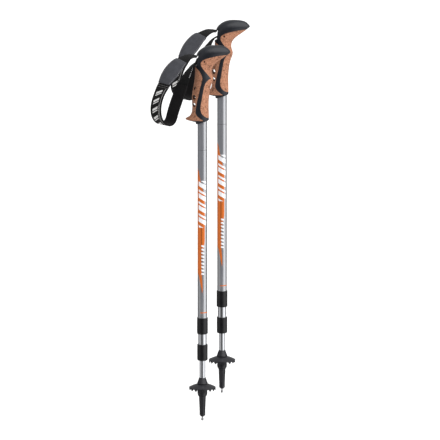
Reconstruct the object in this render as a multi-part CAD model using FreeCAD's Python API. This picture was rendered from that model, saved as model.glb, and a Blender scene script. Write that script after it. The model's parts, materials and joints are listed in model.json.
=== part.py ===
import FreeCAD, Part
import math
import os

# Pair of three-section twist-lock trekking poles, pushed together, standing tips down.
# Each pole has its own axis along Z; the beak of the grip points to +X and the strap hangs
# to the rear.  The tip of the right hand pole stands at the origin.  All sizes in mm.

V = FreeCAD.Vector
UP = V(0, 0, 1)

# ---- overall ----
COLLAPSED_LENGTH = 710.0      # tip to crown, all sections pushed in
POLE_SPACING = 262.0          # between the two axes, along Y
PARTING = 0.3                 # free space left between pieces that do not touch
RUNNING = 0.08                # radial play of a guided or turning fit
SEAM = 0.05                   # gap between layers that are glued or sewn together

# ---- tubes ----
UPPER_OD = 18.0
UPPER_WALL = 0.7
MIDDLE_WALL = 0.7
LOWER_WALL = 0.8
TUBE_PLAY = 0.3               # radial gap between the upper tube and the middle one
MIDDLE_OD = UPPER_OD - 2 * UPPER_WALL - 2 * TUBE_PLAY
LOWER_OD = 11.0
UPPER_TOP = COLLAPSED_LENGTH - 55.0
MIDDLE_TOP = UPPER_TOP - 70.0         # leaves room for the lock above it
LOWER_TOP = MIDDLE_TOP - 85.0

# ---- collars at the tube mouths ----
UPPER_COLLAR_OD = UPPER_OD + 2.3
UPPER_COLLAR_LENGTH = 31.0
UPPER_COLLAR_BOTTOM = 164.0
LOWER_COLLAR_OD = MIDDLE_OD + 3.6
LOWER_COLLAR_LENGTH = 30.6
LOWER_COLLAR_BOTTOM = 114.0
COLLAR_SHOULDER = 4.0         # height of the guide lip below the tube end
COLLAR_ROUND = 2.6
COLLAR_EDGE = 0.5

# ---- expander locks ----
LOCK_GAP = 3.0                # between plug flange and expander
PLUG_DEPTH = 18.0
PLUG_FLANGE = 2.0
EXPANDER_LENGTH = 38.0
EXPANDER_PLAY = 0.10          # radial play of the released expander in its tube
EXPANDER_SLOT = 1.2
EXPANDER_SLOTS = 4
CONE_LENGTH = 22.0            # tapered part, most of it inside the expander
CONE_HEAD = 7.0
CONE_LIFT = 2.5               # how far the cone backs out when the lock is undone
THREAD_PITCH = 1.25
THREAD_DEPTH = 0.45
MIDDLE_SPINDLE_R = 2.5
LOWER_SPINDLE_R = 2.0
NUT_HEIGHT = 4.0
NUT_FLATS = 8.0

# ---- flexible tip, carbide and basket ----
TIP_SEAT_BOTTOM = 10.5        # straight part a rubber paw is pushed on to
TIP_SEAT_TOP = 19.0
TIP_SEAT_R = 5.4
TIP_SHAFT_TOP = 45.0
TIP_SHAFT_R = 6.5
TIP_NOSE_Z = 7.8
TIP_NOSE_R = 3.0
TIP_FLUTES = 8
TIP_FLUTE_R = 0.8
SHANK_R = LOWER_OD / 2 + 1.7
SHANK_TOP = 70.0
BELL_BOTTOM_R = SHANK_R + 2.7
BELL_TOP_R = LOWER_OD / 2 + 0.7
BELL_TOP = 81.3
TUBE_END_Z = 68.0
SPIGOT_TOP = 95.0
CARBIDE_R = 2.2
CARBIDE_HEIGHT = 5.4
CARBIDE_NECK_R = 1.3
BASKET_R = 24.8
BASKET_RIM_Z = 63.4
BASKET_TOP_Z = 69.4
BASKET_THICKNESS = 1.6
BASKET_TEETH = 16
BASKET_TOOTH = 3.6
BASKET_TOOTH_WIDTH = 7.6
BASKET_HUB_R = SHANK_R + 2.0
BASKET_HUB_BOTTOM = 47.5
BASKET_POCKETS = 4

# ---- grip ----
GRIP_HEIGHT = 143.0           # from the lip under the cork to the crown
GRIP_DEPTH = 84.5             # from the rear lip to the point of the beak
GRIP_WIDTH = 34.0             # across the head
CORE_WALL = 1.0               # skeleton left around the upper tube
UNDERLIP = 1.8                # rubber under the cork
BASE_RING_R = UPPER_OD / 2 + 3.4
BASE_RING_HEIGHT = 6.0        # at the rear; the ring runs out towards the front
PIN_R = 1.6
PIN_RECESS_R = 4.6
PIN_RECESS_DEPTH = 0.9
VENT_WIDTH = 6.0
SLOT_WIDTH = 25.0             # mouth for the strap, across the head

# ---- strap ----
WEBBING_THICKNESS = 1.6
WEBBING_WIDTH_AT_HEAD = 19.0
WEBBING_WIDTH = 25.5
LINING_THICKNESS = 1.5
PAD_THICKNESS = 2.6
PAD_WIDTH = 33.0
STRAP_STATIONS = 38

# Stations up the grip: height above the lip, rear reach, front reach, half width, and how
# much narrower the front is than the rear.  Drawn for the sizes given in DRAWN below.
DRAWN_HEIGHT, DRAWN_DEPTH, DRAWN_WIDTH = 143.0, 84.5, 34.0
GRIP_STATIONS = [
    (0.0, -17.0, 11.6, 11.6, 0.05),      # underside of the lip
    (1.8, -29.5, 11.9, 12.6, -0.10),
    (3.6, -31.6, 12.1, 13.2, -0.12),     # rear lip at its longest
    (8.0, -25.4, 12.2, 13.6, -0.06),
    (13.0, -21.0, 12.1, 13.8, 0.0),
    (21.0, -19.1, 11.9, 14.0, 0.0),
    (34.0, -19.2, 11.8, 14.6, 0.0),      # hollow for the little finger
    (49.0, -19.1, 12.8, 15.3, 0.0),
    (60.0, -17.5, 14.4, 15.5, 0.0),      # palm swell
    (70.0, -15.9, 17.2, 15.4, 0.02),
    (77.0, -14.9, 19.8, 15.2, 0.05),
    (83.5, -14.1, 20.0, 15.0, 0.08),     # finger spur
    (90.0, -13.7, 17.8, 14.8, 0.08),
    (98.0, -13.6, 18.0, 15.0, 0.10),     # throat under the beak
    (105.0, -13.6, 20.9, 15.5, 0.14),
    (111.0, -13.2, 26.6, 16.1, 0.20),
    (117.0, -12.7, 34.6, 16.6, 0.26),
    (122.5, -11.7, 42.2, 16.9, 0.32),
    (128.0, -9.4, 49.0, 17.0, 0.36),
    (132.0, -6.6, 52.5, 16.6, 0.36),     # point of the beak
    (135.5, -2.7, 50.2, 15.4, 0.34),
    (138.5, 1.8, 47.0, 13.2, 0.30),
    (141.0, 7.6, 42.6, 10.2, 0.24),
    (142.4, 13.8, 37.0, 6.8, 0.16),
    (143.0, 20.0, 30.5, 3.0, 0.0),       # crown
]
POINTS_ROUND = 28

# Edges of the cork facings seen from the side: (reach along X, height above the lip)
HEAD_EDGE = [(60, 127), (43, 126), (30, 125), (20, 123), (10.5, 120.5), (4, 117.5), (0, 113.5),
             (-1, 109.5), (0.7, 105), (5.3, 98), (10.5, 91), (17.3, 82)]
FRONT_EDGE = [(17.3, 82), (9.2, 75.5), (6, 69), (4, 60), (2, 49), (0, 37), (-1.6, 26),
              (-0.6, 19), (4.2, 11.5), (12.5, 6.2), (22, 3)]
REAR_EDGE = [(-22, 107), (-13, 103.5), (-7.7, 100), (-2.5, 94.5), (1.2, 87), (2, 82),
             (0.7, 75), (-2.5, 63), (-5, 50), (-7.2, 42), (-9, 33), (-10.8, 24), (-11.2, 17.5),
             (-8.5, 12), (-3.2, 7), (4, 1), (7, -3)]
SLOT_OUTLINE = [(-22, 125.2), (-2, 124.6), (6, 121.6), (10.6, 118.2), (12.0, 114.3),
                (10.6, 110.4), (6, 107.6), (0, 106.2), (-6, 105.3), (-22, 102.6)]
WEDGE_OUTLINE = [(-5, 117.4), (-5, 113.8), (2.0, 114.0), (0.8, 116.6)]
PIN_AT = (6.3, 114.3)
PIN_DRAWN_AT = V(6.3, 0, 681.3)       # where the pin is in the strap's routes below
VENTS = [(-14.0, 46.0, 9.0, 0.0), (-14.2, 31.5, 7.4, 0.0), (-12.9, 63.0, 7.6, -24.0)]

# Route of the strap from the upper to the lower mouth, and the direction its width points
STRAP_ROUTE = [
    ((-10.0, 0.0, 687.0), (0.00, -1.00, 0.00)),
    ((-15.8, -0.9, 688.0), (0.04, -1.00, -0.02)),
    ((-21.4, -6.8, 688.9), (0.22, -0.97, -0.08)),
    ((-27.4, -17.2, 687.6), (0.48, -0.85, -0.22)),
    ((-37.3, -30.7, 681.6), (0.78, -0.52, -0.34)),
    ((-51.8, -50.0, 664.0), (0.86, -0.42, -0.28)),
    ((-62.6, -64.2, 645.6), (0.85, -0.50, -0.12)),
    ((-71.4, -75.8, 625.0), (0.81, -0.58, 0.06)),
    ((-75.4, -81.2, 603.0), (0.81, -0.58, 0.06)),
    ((-73.4, -78.4, 585.5), (0.81, -0.58, 0.00)),
    ((-67.2, -70.3, 574.2), (0.81, -0.58, 0.00)),
    ((-59.2, -59.8, 570.2), (0.81, -0.58, -0.04)),
    ((-52.8, -51.3, 575.2), (0.81, -0.58, -0.10)),
    ((-49.4, -46.8, 586.5), (0.81, -0.57, -0.15)),
    ((-44.2, -39.8, 605.8), (0.81, -0.56, -0.20)),
    ((-35.7, -28.6, 633.0), (0.76, -0.60, -0.24)),
    ((-26.6, -16.6, 659.0), (0.48, -0.86, -0.14)),
    ((-19.8, -6.0, 671.2), (0.20, -0.98, -0.02)),
    ((-15.0, -0.9, 675.6), (0.04, -1.00, 0.00)),
    ((-10.0, 0.0, 678.1), (0.00, -1.00, 0.00)),
]
TAIL_ROUTE = [(-5.5, 687.0), (-1.0, 686.5), (3.0, 685.1), (6.3, 683.4), (7.7, 682.8),
              (8.35, 681.3), (7.7, 679.8), (6.3, 679.2), (3.0, 679.0), (-1.0, 678.6),
              (-5.5, 678.1)]


# ---------------------------------------------------------------- small helpers

def turned(points):
    """Solid of revolution about Z from a closed outline of (radius, height)."""
    outline = Part.makePolygon([V(r, 0, z) for r, z in points + points[:1]])
    return Part.Face(outline).revolve(V(0, 0, 0), UP, 360)


def rod(radius, bottom, top):
    """Cylinder along Z."""
    return Part.makeCylinder(radius, top - bottom, V(0, 0, bottom), UP)


def pipe(outer, inner, bottom, top):
    """Tube along Z."""
    return rod(outer, bottom, top).cut(rod(inner, bottom - 1, top + 1))


def ringed_rod(radius, bottom, top, pitch, depth):
    """Rod whose thread is drawn as rings, outline turned in one piece."""
    points = [(0, bottom), (radius, bottom)]
    z = bottom + pitch / 2
    while z + pitch < top:
        points += [(radius, z), (radius - depth, z + pitch / 2), (radius, z + pitch)]
        z += pitch
    points += [(radius, top), (0, top)]
    return turned(points)


def grip_point(x, height, y=0.0):
    """A drawn point of the grip, scaled to the chosen grip size."""
    base = COLLAPSED_LENGTH - GRIP_HEIGHT
    return V(x * GRIP_DEPTH / DRAWN_DEPTH, y, base + height * GRIP_HEIGHT / DRAWN_HEIGHT)


def spline_edge(points):
    """Smooth edge through the given vectors."""
    curve = Part.BSplineCurve()
    curve.interpolate(points)
    return curve.toShape()


def led_edge(points, start, end):
    """Smooth edge through the given vectors that leaves and arrives along given directions."""
    marks = [0.0]
    for before, after in zip(points, points[1:]):
        marks.append(marks[-1] + (after - before).Length)
    curve = Part.BSplineCurve()
    curve.interpolate(Points=points, Parameters=marks, InitialTangent=start.normalize(),
                      FinalTangent=end.normalize(), Scale=False)
    return curve.toShape()


def side_prism(edges, half=40.0):
    """Solid across the grip whose side view is the closed run of edges."""
    face = Part.Face(Part.Wire(edges))
    face.translate(V(0, -half, 0))
    return face.extrude(V(0, 2 * half, 0))


def straight(points):
    """Straight edges joining the given vectors one after the other."""
    return [Part.LineSegment(a, b).toShape() for a, b in zip(points, points[1:])]


# ---------------------------------------------------------------- grip

def grip_section(height, rear, front, half_width, taper):
    """Closed outline of the grip at one height."""
    points = []
    middle = (rear + front) / 2.0
    reach = (front - rear) / 2.0
    for i in range(POINTS_ROUND):
        t = 2 * math.pi * i / POINTS_ROUND
        x = middle + reach * math.cos(t)
        y = half_width * math.sin(t) * (1 - taper * math.cos(t))
        points.append(grip_point(x, height, y * GRIP_WIDTH / DRAWN_WIDTH))
    curve = Part.BSplineCurve()
    curve.interpolate(Points=points, PeriodicFlag=True)
    return Part.Wire(curve.toShape())


def grip_body():
    """The whole outer form of the grip before it is divided."""
    return Part.makeLoft([grip_section(*row) for row in GRIP_STATIONS], True, False)


def cork_prisms():
    """Side-view regions of the three cork facings."""
    cork_bottom = UNDERLIP * DRAWN_HEIGHT / GRIP_HEIGHT
    head = [grip_point(x, h) for x, h in HEAD_EDGE]
    front = [grip_point(x, h) for x, h in FRONT_EDGE]
    rear = [grip_point(x, h) for x, h in REAR_EDGE]
    spur_out = grip_point(26, 78.5)
    beak = [spline_edge(head)] + straight([head[-1], spur_out, grip_point(60, 78.5), head[0]])
    lower = [spline_edge(front)] + straight([front[-1], grip_point(40, 3), grip_point(40, 78.5),
                                             spur_out, front[0]])
    back = [spline_edge(rear)] + straight([rear[-1], grip_point(-50, -3),
                                           grip_point(-50, 107), rear[0]])
    floor = grip_point(0, cork_bottom).z
    under = Part.makeBox(160, 80, 20, V(-80, -40, floor - 20))
    return [side_prism(edges).cut(under) for edges in (back, lower, beak)]


def vent_cutters():
    """Lateral openings through the rear cork, rounded at both ends."""
    cutters = []
    for x, height, tall, lean in VENTS:
        width = VENT_WIDTH if lean == 0 else VENT_WIDTH * 0.5
        centre = grip_point(x, height)
        half = (tall - width) / 2.0
        slot = Part.makeBox(width, 80, 2 * half, V(centre.x - width / 2, -40, centre.z - half))
        for end in (-half, half):
            at = V(centre.x, -40, centre.z + end)
            slot = slot.fuse(Part.makeCylinder(width / 2, 80, at, V(0, 1, 0)))
        slot = slot.removeSplitter()
        slot.rotate(centre, V(0, 1, 0), -lean)
        cutters.append(slot)
    return cutters


def grip_pieces():
    """Rubber skeleton, three cork facings, base, pin and wedge."""
    body = grip_body()
    prisms = cork_prisms()
    lip = grip_point(0, 0).z
    cork_floor = lip + UNDERLIP
    tube_r = UPPER_OD / 2
    core = rod(tube_r + CORE_WALL, cork_floor, UPPER_TOP + 3)
    bore = rod(tube_r, lip - 20, UPPER_TOP)
    slot_points = [grip_point(x, h) for x, h in SLOT_OUTLINE]
    slot = side_prism(straight(slot_points + slot_points[:1]), SLOT_WIDTH / 2)
    pin_at = grip_point(*PIN_AT)
    pin_hole = Part.makeCylinder(PIN_R, 80, pin_at - V(0, 40, 0), V(0, 1, 0))
    reach = half_width_at(body, pin_at) - PIN_RECESS_DEPTH
    recesses = [Part.makeCylinder(PIN_RECESS_R, 30, pin_at + V(0, side * reach, 0), V(0, side, 0))
                for side in (-1, 1)]
    openings = [pin_hole, slot] + recesses

    below = Part.makeBox(160, 80, 40, V(-80, -40, cork_floor - 40))
    above = body.cut(below)
    frame = above.cut(prisms).fuse(core).cut([bore] + openings)
    corks = []
    for prism, cutters in zip(prisms, (vent_cutters(), [], [])):
        corks.append(above.common(prism).cut([core, bore] + openings + cutters))

    base = body.common(below).cut(bore)
    ring = rod(BASE_RING_R, lip - BASE_RING_HEIGHT, lip + 0.5).cut(bore)
    ring = ring.makeChamfer(1.2, [lowest_outer_edge(ring)])
    base = base.fuse(ring).removeSplitter().cut(front_slope(lip))
    frame = frame.cut(front_slope(lip))

    pin = Part.makeCylinder(PIN_R, 2 * reach, pin_at - V(0, reach, 0), V(0, 1, 0))
    wedge_points = [grip_point(x, h) for x, h in WEDGE_OUTLINE]
    wedge = side_prism(straight(wedge_points + wedge_points[:1]), WEBBING_WIDTH_AT_HEAD / 2)
    return {
        "grip_frame": frame,
        "cork_rear": corks[0],
        "cork_front": corks[1],
        "cork_beak": corks[2],
        "grip_base": base,
        "strap_pin": pin,
        "strap_wedge": wedge,
    }


def front_slope(lip):
    """What is cut away under the grip so that its base rises from the rear to the front."""
    rear = V(-BASE_RING_R, 0, lip - BASE_RING_HEIGHT)
    front = V(BASE_RING_R, 0, lip + UNDERLIP + 0.4)
    way = front - rear
    points = [rear - way, front + way, front + way - V(0, 0, 80), rear - way - V(0, 0, 80)]
    return side_prism(straight(points + points[:1]))


def half_width_at(body, point):
    """How far the body reaches to +Y from a point on its middle plane."""
    probe = Part.LineSegment(point, point + V(0, 60, 0)).toShape()
    return probe.common(body).Length


def lowest_outer_edge(shape):
    """The widest of the circular edges at the bottom of a turned piece."""
    bottom = shape.BoundBox.ZMin
    edges = [e for e in shape.Edges if e.BoundBox.ZMax < bottom + 0.01]
    return max(edges, key=lambda e: e.BoundBox.XLength)


# ---------------------------------------------------------------- strap

def strap_shift():
    """How far the strap follows its pin away from where its routes are drawn."""
    return grip_point(*PIN_AT) - PIN_DRAWN_AT


def strap_stations():
    """Centre, width direction and outward direction all along the loop."""
    points = [V(*place) + strap_shift() for place, across in STRAP_ROUTE]
    edge = led_edge(points, V(-1, 0, 0.25), V(1, 0, 0.45))
    marks = [edge.Curve.parameter(p) for p in points]
    first, last = edge.ParameterRange
    stations = []
    for i in range(STRAP_STATIONS):
        length = edge.Length * i / (STRAP_STATIONS - 1.0)
        t = min(max(edge.getParameterByLength(length), first), last)
        k = max(j for j in range(len(marks) - 1) if marks[j] <= t + 1e-9)
        f = (t - marks[k]) / (marks[k + 1] - marks[k])
        f = f * f * (3 - 2 * f)
        across = V(*STRAP_ROUTE[k][1]) * (1 - f) + V(*STRAP_ROUTE[k + 1][1]) * f
        along = edge.tangentAt(t)
        across = across - along * across.dot(along)
        across.normalize()
        stations.append((edge.valueAt(t), across, along.cross(across)))
    return stations


def band(stations, widths, inner, outer):
    """Flat band through the stations, between two offsets from its middle line."""
    wires = []
    for (centre, across, out), width in zip(stations, widths):
        corners = [centre + across * (width / 2 * s) + out * o
                   for s, o in ((-1, inner), (1, inner), (1, outer), (-1, outer))]
        wires.append(Part.makePolygon(corners + corners[:1]))
    return Part.makeLoft(wires, True, True)


def swell(i, first, last, narrow, wide):
    """Width that grows from both ends of a run to its middle."""
    share = (i - first) / float(last - first)
    return narrow + (wide - narrow) * math.sin(math.pi * share) ** 0.7


def strap_pieces():
    """Webbing loop, outer pad, inner lining and the tail held in the head."""
    stations = strap_stations()
    count = len(stations)
    widths = []
    for i in range(count):
        from_end = min(i, count - 1 - i) / (count * 0.2)
        grow = min(from_end, 1.0)
        grow = grow * grow * (3 - 2 * grow)
        widths.append(WEBBING_WIDTH_AT_HEAD + (WEBBING_WIDTH - WEBBING_WIDTH_AT_HEAD) * grow)
    webbing = band(stations, widths, 0, WEBBING_THICKNESS)

    first, last = int(count * 0.12), int(count * 0.29)
    pad_widths = [swell(i, first, last, WEBBING_WIDTH_AT_HEAD + 5, PAD_WIDTH)
                  for i in range(first, last + 1)]
    pad_widths[-1] = WEBBING_WIDTH
    pad_inner = WEBBING_THICKNESS + SEAM
    pad = band(stations[first:last + 1], pad_widths, pad_inner, pad_inner + PAD_THICKNESS)

    line_last = int(count * 0.84)
    lining = band(stations[first:line_last + 1], widths[first:line_last + 1],
                  -SEAM - LINING_THICKNESS, -SEAM)

    places = [V(x, 0, z) + strap_shift() for x, z in TAIL_ROUTE]
    tail_stations = []
    for i, place in enumerate(places):
        before = places[max(i - 1, 0)]
        after = places[min(i + 1, len(places) - 1)]
        along = after - before
        along.normalize()
        across = V(0, -1, 0)
        outward = across.cross(along)
        tail_stations.append((place, across, outward))
    tail = band(tail_stations, [WEBBING_WIDTH_AT_HEAD] * len(places), 0, WEBBING_THICKNESS)
    return {
        "strap_webbing": webbing,
        "strap_pad": pad,
        "strap_lining": lining,
        "strap_tail": tail,
    }


# ---------------------------------------------------------------- tubes, collars and locks

def collar(outer_r, tube_r, slide_r, bottom, length):
    """Moulded collar: pressed on the outer tube, guiding the one that slides in it."""
    shoulder = bottom + COLLAR_SHOULDER
    outer = rod(outer_r, bottom, bottom + length)
    rims = [e for e in outer.Edges if len(e.Vertexes) == 1]
    low = min(rims, key=lambda e: e.BoundBox.ZMin)
    outer = outer.makeFillet(COLLAR_ROUND, [low])
    high = [e for e in outer.Edges if e.BoundBox.ZMin > bottom + length - 0.01]
    outer = outer.makeFillet(COLLAR_EDGE, high)
    outer = outer.cut(rod(tube_r, shoulder, bottom + length + 1))
    return outer.cut(rod(slide_r + RUNNING, bottom - 1, shoulder + 1))


def lock_pieces(prefix, tube_top, tube_bore_r, tube_r, lock_bore_r, spindle_r):
    """Plug, spindle, expander, cone and nut at the top of a sliding tube."""
    flange_top = tube_top + PLUG_FLANGE
    plug = rod(tube_bore_r, tube_top - PLUG_DEPTH, tube_top)
    plug = plug.fuse(rod(tube_r, tube_top, flange_top)).removeSplitter()

    sleeve_bottom = flange_top + LOCK_GAP
    sleeve_top = sleeve_bottom + EXPANDER_LENGTH
    sleeve_r = lock_bore_r - EXPANDER_PLAY
    taper_bottom = sleeve_top - CONE_LENGTH + 4
    narrow_r = spindle_r + 1.3
    wide_r = sleeve_r - 1.5
    rings = []
    step = EXPANDER_LENGTH / 7.0
    outline = [(spindle_r + PARTING, sleeve_bottom), (sleeve_r - 0.6, sleeve_bottom),
               (sleeve_r, sleeve_bottom + 0.8)]
    for i in range(1, 7):
        z = sleeve_bottom + i * step
        rings += [(sleeve_r, z - 0.6), (sleeve_r - 0.5, z - 0.3), (sleeve_r - 0.5, z + 0.3),
                  (sleeve_r, z + 0.6)]
    outline += rings
    outline += [(sleeve_r, sleeve_top - 0.6), (sleeve_r - 0.4, sleeve_top),
                (wide_r, sleeve_top), (narrow_r, taper_bottom),
                (spindle_r + PARTING, taper_bottom - 1.2)]
    sleeve = turned(outline)
    for i in range(EXPANDER_SLOTS):
        blade = Part.makeBox(sleeve_r + 2, EXPANDER_SLOT, EXPANDER_LENGTH,
                             V(0, -EXPANDER_SLOT / 2, sleeve_bottom + 9))
        blade.rotate(V(0, 0, 0), UP, 45 + 360.0 * i / EXPANDER_SLOTS)
        sleeve = sleeve.cut(blade)

    slope = (wide_r - narrow_r) / (sleeve_top - taper_bottom)
    cone_bottom = taper_bottom + 1.0
    cone_top = sleeve_top + 1.5
    gap = EXPANDER_PLAY
    cone_bore = spindle_r + RUNNING
    cone_outline = [(cone_bore, cone_bottom),
                    (narrow_r + slope * (cone_bottom - taper_bottom) - gap, cone_bottom),
                    (narrow_r + slope * (cone_top - taper_bottom) - gap, cone_top),
                    (wide_r + 0.5, cone_top), (wide_r + 0.5, cone_top + CONE_HEAD - 0.6),
                    (wide_r - 0.1, cone_top + CONE_HEAD), (cone_bore, cone_top + CONE_HEAD)]
    cone = turned(cone_outline)

    spindle_bottom = tube_top - PLUG_DEPTH + 4
    nut_bottom = cone_top + CONE_HEAD + CONE_LIFT + 0.8
    spindle_top = nut_bottom + NUT_HEIGHT - 0.4
    plain = rod(spindle_r, spindle_bottom, cone_bottom - 2)
    threaded = ringed_rod(spindle_r, cone_bottom - 2, nut_bottom, THREAD_PITCH, THREAD_DEPTH)
    spindle = plain.fuse(threaded).fuse(rod(spindle_r, nut_bottom, spindle_top))
    spindle = spindle.removeSplitter()
    plug = plug.cut(rod(spindle_r, spindle_bottom, flange_top + 1))

    corner = NUT_FLATS / math.sqrt(3)
    hexagon = [V(corner * math.cos(math.radians(60 * i)), corner * math.sin(math.radians(60 * i)),
                 nut_bottom) for i in range(6)]
    nut = Part.Face(Part.makePolygon(hexagon + hexagon[:1])).extrude(V(0, 0, NUT_HEIGHT))
    nut = nut.cut(rod(spindle_r, nut_bottom - 1, spindle_top))
    return {
        prefix + "_plug": plug,
        prefix + "_expander": sleeve,
        prefix + "_cone": cone,
        prefix + "_spindle": spindle,
        prefix + "_spindle_nut": nut,
    }


def tube_pieces():
    """The three telescoping tubes with their collars and locks."""
    upper_bottom = UPPER_COLLAR_BOTTOM + COLLAR_SHOULDER
    middle_bottom = LOWER_COLLAR_BOTTOM + COLLAR_SHOULDER
    upper_r = UPPER_OD / 2
    middle_r = MIDDLE_OD / 2
    lower_r = LOWER_OD / 2
    pieces = {
        "upper_tube": pipe(upper_r, upper_r - UPPER_WALL, upper_bottom, UPPER_TOP),
        "middle_tube": pipe(middle_r, middle_r - MIDDLE_WALL, middle_bottom, MIDDLE_TOP),
        "lower_tube": pipe(lower_r, lower_r - LOWER_WALL, TUBE_END_Z, LOWER_TOP),
        "upper_collar": collar(UPPER_COLLAR_OD / 2, upper_r, middle_r, UPPER_COLLAR_BOTTOM,
                               UPPER_COLLAR_LENGTH),
        "lower_collar": collar(LOWER_COLLAR_OD / 2, middle_r, lower_r, LOWER_COLLAR_BOTTOM,
                               LOWER_COLLAR_LENGTH),
    }
    pieces.update(lock_pieces("middle", MIDDLE_TOP, middle_r - MIDDLE_WALL, middle_r,
                              upper_r - UPPER_WALL, MIDDLE_SPINDLE_R))
    pieces.update(lock_pieces("lower", LOWER_TOP, lower_r - LOWER_WALL, lower_r,
                              middle_r - MIDDLE_WALL, LOWER_SPINDLE_R))
    return pieces


# ---------------------------------------------------------------- tip and basket

def tip_pieces():
    """Flexible tip, carbide point and trekking basket."""
    tube_r = LOWER_OD / 2
    spigot_r = tube_r - LOWER_WALL
    outline = [(0, TIP_NOSE_Z), (TIP_NOSE_R, TIP_NOSE_Z), (TIP_SEAT_R, TIP_SEAT_BOTTOM),
               (TIP_SEAT_R, TIP_SEAT_TOP), (TIP_SHAFT_R, TIP_SHAFT_TOP)]
    z = TIP_SHAFT_TOP + 1.0
    outline.append((SHANK_R, z))
    while z + 3.0 < SHANK_TOP - 2:
        outline += [(SHANK_R, z + 0.8), (SHANK_R - 0.7, z + 1.4), (SHANK_R - 0.7, z + 1.9),
                    (SHANK_R, z + 2.5)]
        z += 2.5
    outline += [(SHANK_R, SHANK_TOP), (BELL_BOTTOM_R, SHANK_TOP),
                (BELL_BOTTOM_R, SHANK_TOP + 1.0), (BELL_TOP_R, BELL_TOP), (tube_r, BELL_TOP),
                (tube_r, TUBE_END_Z), (spigot_r, TUBE_END_Z), (spigot_r, SPIGOT_TOP),
                (0, SPIGOT_TOP)]
    tip = turned(outline)
    shank_top = TIP_NOSE_Z + 12
    tip = tip.cut(rod(CARBIDE_NECK_R, 0, shank_top))
    for i in range(TIP_FLUTES):
        angle = 2 * math.pi * i / TIP_FLUTES
        low = V(TIP_SEAT_R + 0.55, 0, TIP_SEAT_TOP + 3)
        high = V(TIP_SHAFT_R + 0.45, 0, TIP_SHAFT_TOP - 3)
        groove = Part.makeCylinder(TIP_FLUTE_R, (high - low).Length, low, high - low)
        for end in (low, high):
            groove = groove.fuse(Part.makeSphere(TIP_FLUTE_R, end))
        groove.rotate(V(0, 0, 0), UP, math.degrees(angle))
        tip = tip.cut(groove)

    carbide = turned([(0, 0), (CARBIDE_R - 0.4, 0), (CARBIDE_R, 0.6),
                      (CARBIDE_R, CARBIDE_HEIGHT - 1.2), (CARBIDE_NECK_R, CARBIDE_HEIGHT),
                      (CARBIDE_NECK_R, shank_top), (0, shank_top)])

    bore = SHANK_R + RUNNING
    hub = [(bore, BASKET_HUB_BOTTOM), (BASKET_HUB_R - 1.0, BASKET_HUB_BOTTOM),
           (BASKET_HUB_R, BASKET_HUB_BOTTOM + 3.5), (BASKET_HUB_R, BASKET_TOP_Z - 3.4)]
    under = []
    over = []
    for i in range(7):
        share = i / 6.0
        r = BASKET_HUB_R + (BASKET_R - BASKET_HUB_R) * share
        drop = (BASKET_TOP_Z - BASKET_RIM_Z) * share ** 1.35
        under.append((r, BASKET_TOP_Z - BASKET_THICKNESS - drop - 0.01))
        over.append((r, BASKET_TOP_Z - drop))
    basket = turned(hub + under + over[::-1] + [(bore, BASKET_TOP_Z)])
    rim_bottom = BASKET_RIM_Z - BASKET_THICKNESS
    for i in range(BASKET_TEETH):
        root = BASKET_R - 1.7
        half = BASKET_TOOTH_WIDTH / 2
        points = [V(root, -half, rim_bottom + 0.8), V(root, half, rim_bottom + 0.8),
                  V(root, 0.5, rim_bottom - BASKET_TOOTH), V(root, -0.5, rim_bottom - BASKET_TOOTH)]
        tooth = Part.Face(Part.makePolygon(points + points[:1])).extrude(V(1.5, 0, 0))
        tooth.rotate(V(0, 0, 0), UP, 360.0 * i / BASKET_TEETH)
        basket = basket.fuse(tooth)
    for i in range(BASKET_POCKETS):
        pocket = Part.makeBox(1.4, 5.0, 6.0, V(BASKET_HUB_R - 0.9, -2.5, BASKET_HUB_BOTTOM + 6))
        pocket.rotate(V(0, 0, 0), UP, 20 + 360.0 * i / BASKET_POCKETS)
        basket = basket.cut(pocket)
    return {"flex_tip": tip, "carbide_tip": carbide, "basket": basket}


# ---------------------------------------------------------------- both poles

def one_solid(name, shape):
    """The single closed solid a node must be."""
    solids = shape.Solids
    if len(solids) != 1:
        raise RuntimeError("%s has %d solids" % (name, len(solids)))
    if not solids[0].isValid():
        raise RuntimeError("%s is not valid" % name)
    return solids[0]


def main():
    os.makedirs("parts", exist_ok=True)
    pieces = {}
    for group in (grip_pieces, strap_pieces, tube_pieces, tip_pieces):
        pieces.update(group())
    for name in sorted(pieces):
        solid = one_solid(name, pieces[name])
        for side, shift in (("right", 0.0), ("left", POLE_SPACING)):
            copy = solid.copy()
            copy.translate(V(0, shift, 0))
            copy.exportStep("parts/%s_%s.step" % (side, name))


main()
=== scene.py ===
import json
import math

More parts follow.
